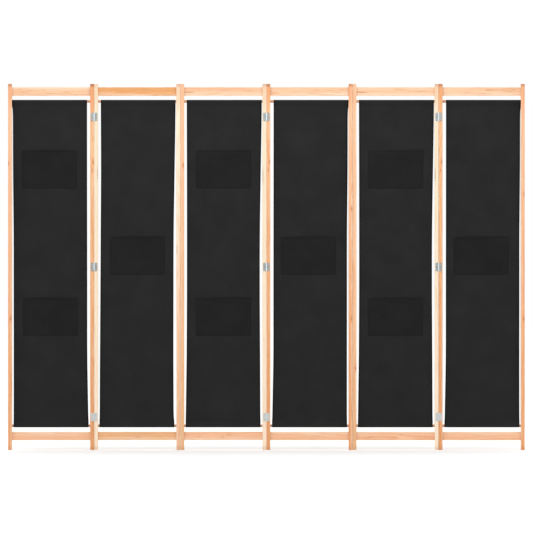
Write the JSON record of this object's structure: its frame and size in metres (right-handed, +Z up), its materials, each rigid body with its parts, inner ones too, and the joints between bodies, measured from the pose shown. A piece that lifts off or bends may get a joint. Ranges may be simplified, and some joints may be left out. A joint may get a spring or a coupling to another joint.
{
  "type": "folding room divider screen",
  "caption": "Folding room divider of hinged wooden frames, each holding a cloth panel with open-topped pockets between rods.",
  "frame": {"origin": "on the floor, at the middle of the screen's length and depth when it stands flat", "axes": "+X along the screen to the right seen from the front, +Z up, -Y out of the front, where the pockets are"},
  "size_m": [2.4, 0.049, 1.7],
  "materials": {
    "fir_post": "satin",
    "fir_rail": "satin",
    "fir_rod": "satin",
    "cloth": "matte",
    "pocket_cloth": "matte",
    "hinge_steel": "satin",
    "screw_steel": "satin",
    "pin_steel": "satin"
  },
  "bodies": {
    "panel_1": {"panel_1_left_post": "fir_post", "panel_1_right_post": "fir_post", "panel_1_top_rail": "fir_rail", "panel_1_bottom_rail": "fir_rail", "panel_1_cloth_rods": "fir_rod", "panel_1_cloth": "cloth", "panel_1_pockets": "pocket_cloth", "panel_1_hinge_leaves": "hinge_steel", "panel_1_hinge_screws": "screw_steel", "hinge_pins_1_2": "pin_steel"},
    "panel_2": {"panel_2_left_post": "fir_post", "panel_2_right_post": "fir_post", "panel_2_top_rail": "fir_rail", "panel_2_bottom_rail": "fir_rail", "panel_2_cloth_rods": "fir_rod", "panel_2_cloth": "cloth", "panel_2_pockets": "pocket_cloth", "panel_2_hinge_leaves": "hinge_steel", "panel_2_hinge_screws": "screw_steel"},
    "panel_3": {"panel_3_left_post": "fir_post", "panel_3_right_post": "fir_post", "panel_3_top_rail": "fir_rail", "panel_3_bottom_rail": "fir_rail", "panel_3_cloth_rods": "fir_rod", "panel_3_cloth": "cloth", "panel_3_pockets": "pocket_cloth", "panel_3_hinge_leaves": "hinge_steel", "panel_3_hinge_screws": "screw_steel", "hinge_pins_2_3": "pin_steel", "hinge_pins_3_4": "pin_steel"},
    "panel_4": {"panel_4_left_post": "fir_post", "panel_4_right_post": "fir_post", "panel_4_top_rail": "fir_rail", "panel_4_bottom_rail": "fir_rail", "panel_4_cloth_rods": "fir_rod", "panel_4_cloth": "cloth", "panel_4_pockets": "pocket_cloth", "panel_4_hinge_leaves": "hinge_steel", "panel_4_hinge_screws": "screw_steel"},
    "panel_5": {"panel_5_left_post": "fir_post", "panel_5_right_post": "fir_post", "panel_5_top_rail": "fir_rail", "panel_5_bottom_rail": "fir_rail", "panel_5_cloth_rods": "fir_rod", "panel_5_cloth": "cloth", "panel_5_pockets": "pocket_cloth", "panel_5_hinge_leaves": "hinge_steel", "panel_5_hinge_screws": "screw_steel", "hinge_pins_4_5": "pin_steel", "hinge_pins_5_6": "pin_steel"},
    "panel_6": {"panel_6_left_post": "fir_post", "panel_6_right_post": "fir_post", "panel_6_top_rail": "fir_rail", "panel_6_bottom_rail": "fir_rail", "panel_6_cloth_rods": "fir_rod", "panel_6_cloth": "cloth", "panel_6_pockets": "pocket_cloth", "panel_6_hinge_leaves": "hinge_steel", "panel_6_hinge_screws": "screw_steel"}
  },
  "joints": [
    {"name": "fold_2_3", "type": "hinge", "parent": "panel_3", "child": "panel_2", "pos_m": [-0.4001, 0.022, 0.85], "axis": [0, 0, -1], "range_deg": [0, 179]},
    {"name": "fold_1_2", "type": "hinge", "parent": "panel_2", "child": "panel_1", "pos_m": [-0.8002, -0.022, 0.85], "axis": [0, 0, 1], "range_deg": [0, 179]},
    {"name": "fold_3_4", "type": "hinge", "parent": "panel_3", "child": "panel_4", "pos_m": [0, -0.022, 0.85], "axis": [0, 0, -1], "range_deg": [0, 179]},
    {"name": "fold_4_5", "type": "hinge", "parent": "panel_4", "child": "panel_5", "pos_m": [0.4001, 0.022, 0.85], "axis": [0, 0, 1], "range_deg": [0, 179]},
    {"name": "fold_5_6", "type": "hinge", "parent": "panel_5", "child": "panel_6", "pos_m": [0.8002, -0.022, 0.85], "axis": [0, 0, -1], "range_deg": [0, 179]}
  ]
}
